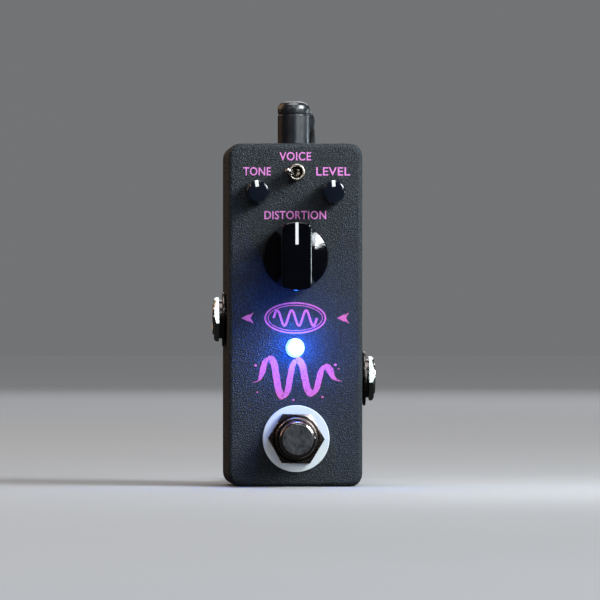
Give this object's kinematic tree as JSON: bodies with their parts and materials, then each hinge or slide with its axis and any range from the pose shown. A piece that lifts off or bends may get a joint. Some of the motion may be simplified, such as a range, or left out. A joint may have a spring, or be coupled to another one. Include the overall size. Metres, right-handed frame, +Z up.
{
  "type": "guitar effects pedal",
  "caption": "Compact guitar effects pedal in a slim die-cast box, with a stomp switch, control knobs, a toggle, a lamp, side jack sockets and a plugged-in power lead.",
  "frame": {"origin": "middle of the flat lower end that the pedal stands on, half way between the face and the back rim", "axes": "+Z up the face from the footswitch to the power socket, -Y out of the face towards the player, +X to the right of someone who looks at the face"},
  "size_m": [0.0446, 0.1024, 0.1054],
  "materials": {
    "powder_coat": "dark charcoal textured powder coat over die-cast aluminium",
    "legend_ink": "orchid pink screen-printed ink",
    "plate_steel": "black oxide finish, fine brush marks",
    "screw_steel": "zinc plated",
    "pad_rubber": "black non-slip rubber",
    "knob_plastic": "gloss black moulding with a white line",
    "knob_mark": "white printed pointer line",
    "inner_plastic": "black moulding",
    "bright_nickel": "bright nickel plate",
    "black_nickel": "dark nickel plate, dull on the plunger's top",
    "nylon": "white nylon",
    "led_lens": "lit blue-white lamp",
    "contact_brass": "spring brass",
    "circuit_board": "green solder mask",
    "chip": "black epoxy",
    "capacitor_sleeve": "dark sleeve",
    "ribbon": "grey ribbon cable",
    "plug_plastic": "satin black moulding",
    "cord_jacket": "black PVC jacket"
  },
  "bodies": {
    "chassis": {"enclosure": "powder_coat", "base_plate": "plate_steel", "base_screw_1": "screw_steel", "base_screw_2": "screw_steel", "base_screw_3": "screw_steel", "base_screw_4": "screw_steel", "footswitch_spring": "screw_steel", "rubber_pad": "pad_rubber", "distortion_pot_body": "inner_plastic", "tone_pot_body": "inner_plastic", "level_pot_body": "inner_plastic", "toggle_body": "inner_plastic", "footswitch_body": "inner_plastic", "output_jack_body": "inner_plastic", "input_jack_body": "inner_plastic", "dc_socket_body": "inner_plastic", "distortion_pot_nut": "bright_nickel", "distortion_pot_washer": "bright_nickel", "toggle_bushing": "bright_nickel", "footswitch_inner_nut": "bright_nickel", "footswitch_lug_1": "bright_nickel", "footswitch_lug_2": "bright_nickel", "footswitch_lug_3": "bright_nickel", "output_jack_bush": "bright_nickel", "output_jack_washer": "bright_nickel", "output_jack_nut": "bright_nickel", "input_jack_bush": "bright_nickel", "input_jack_washer": "bright_nickel", "input_jack_nut": "bright_nickel", "dc_socket_pin": "bright_nickel", "dc_plug_barrel": "bright_nickel", "supply_plug_barrel": "bright_nickel", "footswitch_nut": "black_nickel", "footswitch_bushing": "black_nickel", "footswitch_washer": "nylon", "led_lens": "led_lens", "output_jack_tip_spring": "contact_brass", "input_jack_tip_spring": "contact_brass", "control_board": "circuit_board", "main_board": "circuit_board", "footswitch_board": "circuit_board", "op_amp_chip": "chip", "supply_capacitor_1": "capacitor_sleeve", "supply_capacitor_2": "capacitor_sleeve", "board_ribbon": "ribbon", "dc_plug_housing": "plug_plastic", "supply_plug_body": "plug_plastic", "dc_plug_strain_relief": "cord_jacket", "supply_plug_strain_relief": "cord_jacket", "dc_cord_drop": "cord_jacket", "dc_cord_coil": "cord_jacket", "dc_cord_tail": "cord_jacket"},
    "distortion_control": {"distortion_knob": "knob_plastic", "distortion_pot_shaft": "bright_nickel"},
    "tone_control": {"tone_knob": "knob_plastic", "tone_pot_shaft": "inner_plastic"},
    "level_control": {"level_knob": "knob_plastic", "level_pot_shaft": "inner_plastic"},
    "toggle_control": {"toggle_lever": "bright_nickel"},
    "footswitch_button": {"footswitch_plunger": "black_nickel"}
  },
  "joints": [
    {"name": "distortion_turn", "type": "hinge", "parent": "chassis", "child": "distortion_control", "pos_m": [0, -0.0155, 0.0625], "axis": [0, 1, 0], "range_deg": [-150, 150]},
    {"name": "tone_turn", "type": "hinge", "parent": "chassis", "child": "tone_control", "pos_m": [-0.0103, -0.0155, 0.0802], "axis": [0, 1, 0], "range_deg": [-150, 150]},
    {"name": "level_turn", "type": "hinge", "parent": "chassis", "child": "level_control", "pos_m": [0.0103, -0.0155, 0.0802], "axis": [0, 1, 0], "range_deg": [-150, 150]},
    {"name": "toggle_flip", "type": "hinge", "parent": "chassis", "child": "toggle_control", "pos_m": [0.0003, -0.0166, 0.0855], "axis": [0, 0, 1], "range_deg": [0, 36]},
    {"name": "footswitch_press", "type": "slide", "parent": "chassis", "child": "footswitch_button", "axis": [0, 1, 0], "range_m": [0, 0.003], "stiffness_N_per_m": 1500, "springref_m": -0.006, "deforming": ["footswitch_spring"]}
  ]
}
